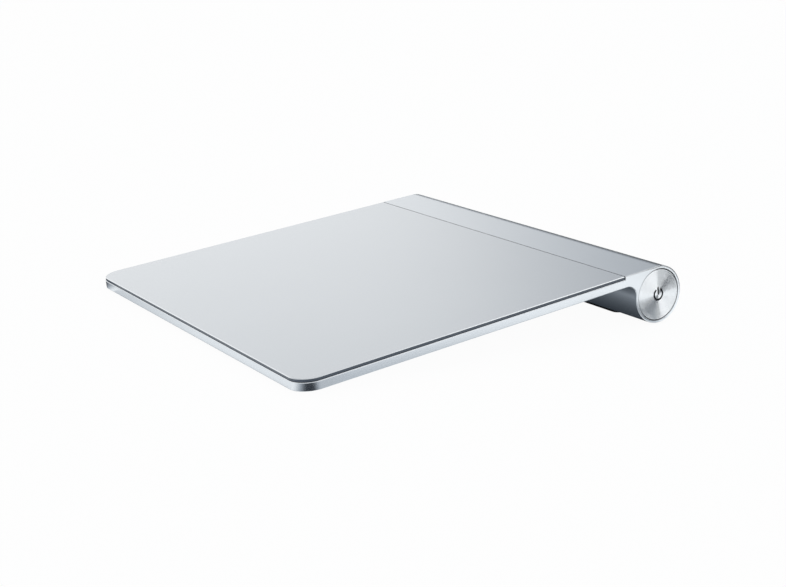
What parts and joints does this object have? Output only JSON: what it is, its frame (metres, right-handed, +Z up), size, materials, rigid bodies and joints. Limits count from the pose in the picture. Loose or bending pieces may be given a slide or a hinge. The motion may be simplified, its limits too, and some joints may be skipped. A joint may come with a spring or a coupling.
{
  "type": "trackpad",
  "caption": "Flat desk trackpad: a glass touch surface on a thin aluminium plate that a rear battery tube props at an angle, with click feet, a power button and a screw cap.",
  "frame": {"origin": "on the surface that the trackpad stands on, under the centre of its box", "axes": "+Z up, +Y towards the battery tube at the back, +X towards the power button"},
  "size_m": [0.1314, 0.1304, 0.018],
  "materials": {
    "anodised_aluminium": "bead blasted, clear anodised",
    "spun_aluminium": "spun and anodised",
    "touch_glass": "etched matt, light grey print on the back",
    "black_film": "matt",
    "circuit_board": "solder mask",
    "chip_black": "moulded",
    "socket_cream": "moulded",
    "ribbon_amber": "polyimide film",
    "spring_steel": "stamped",
    "screw_steel": "plated",
    "foot_plastic": "moulded",
    "foot_rubber": "matt",
    "sleeve_plastic": "rolled film",
    "cell_jacket": "printed jacket",
    "carrier_plastic": "moulded",
    "contact_brass": "gold plated"
  },
  "bodies": {
    "chassis": {"aluminium_body": "anodised_aluminium", "touch_glass": "touch_glass", "glass_adhesive": "black_film", "sensor_board": "circuit_board", "sensor_chips": "chip_black", "ribbon_socket": "socket_cream", "ribbon_cable": "ribbon_amber", "ribbon_clamp": "spring_steel", "clamp_screws": "screw_steel", "left_switch_bracket": "spring_steel", "right_switch_bracket": "spring_steel", "bracket_screws": "screw_steel", "left_click_switch": "ribbon_amber", "right_click_switch": "ribbon_amber", "left_click_dome": "spring_steel", "right_click_dome": "spring_steel", "rear_foot_strip": "foot_rubber", "battery_sleeve": "sleeve_plastic", "inner_battery": "cell_jacket", "outer_battery": "cell_jacket", "positive_contact": "contact_brass", "end_carrier": "carrier_plastic", "radio_board": "circuit_board", "radio_chip": "chip_black", "radio_shield": "spring_steel", "radio_socket": "socket_cream", "antenna": "contact_brass", "power_switch": "chip_black", "power_dome": "spring_steel"},
    "left_foot": {"left_foot_plunger": "foot_plastic", "left_foot_pad": "foot_rubber"},
    "right_foot": {"right_foot_plunger": "foot_plastic", "right_foot_pad": "foot_rubber"},
    "power_key": {"power_button": "spun_aluminium"},
    "cap_spring": {"negative_spring": "spring_steel"},
    "screw_cap": {"battery_cap": "spun_aluminium", "spring_cup": "spring_steel"}
  },
  "joints": [
    {"name": "left_foot_click", "type": "slide", "parent": "chassis", "child": "left_foot", "axis": [0, -0.1112, 0.9938], "range_m": [0, 0.0003], "stiffness_N_per_m": 1000, "springref_m": -0.0005, "deforming": ["left_click_dome"]},
    {"name": "right_foot_click", "type": "slide", "parent": "chassis", "child": "right_foot", "axis": [0, -0.1112, 0.9938], "range_m": [0, 0.0003], "stiffness_N_per_m": 1000, "springref_m": -0.0005, "deforming": ["right_click_dome"]},
    {"name": "power_press", "type": "slide", "parent": "chassis", "child": "power_key", "axis": [-1, 0, 0], "range_m": [0, 0.0003], "stiffness_N_per_m": 1000, "springref_m": -0.0005, "deforming": ["power_dome"]},
    {"name": "cap_advance", "type": "slide", "parent": "chassis", "child": "cap_spring", "axis": [-1, 0, 0], "range_m": [0, 0.003]},
    {"name": "cap_turn", "type": "hinge", "parent": "cap_spring", "child": "screw_cap", "pos_m": [-0.0624, 0.05641, 0.0092], "axis": [-1, 0, 0], "range_deg": [0, 1080]}
  ],
  "couplings": [
    {"joint": "cap_advance", "follows": "cap_turn", "m_per_rad": 0.00015915}
  ]
}
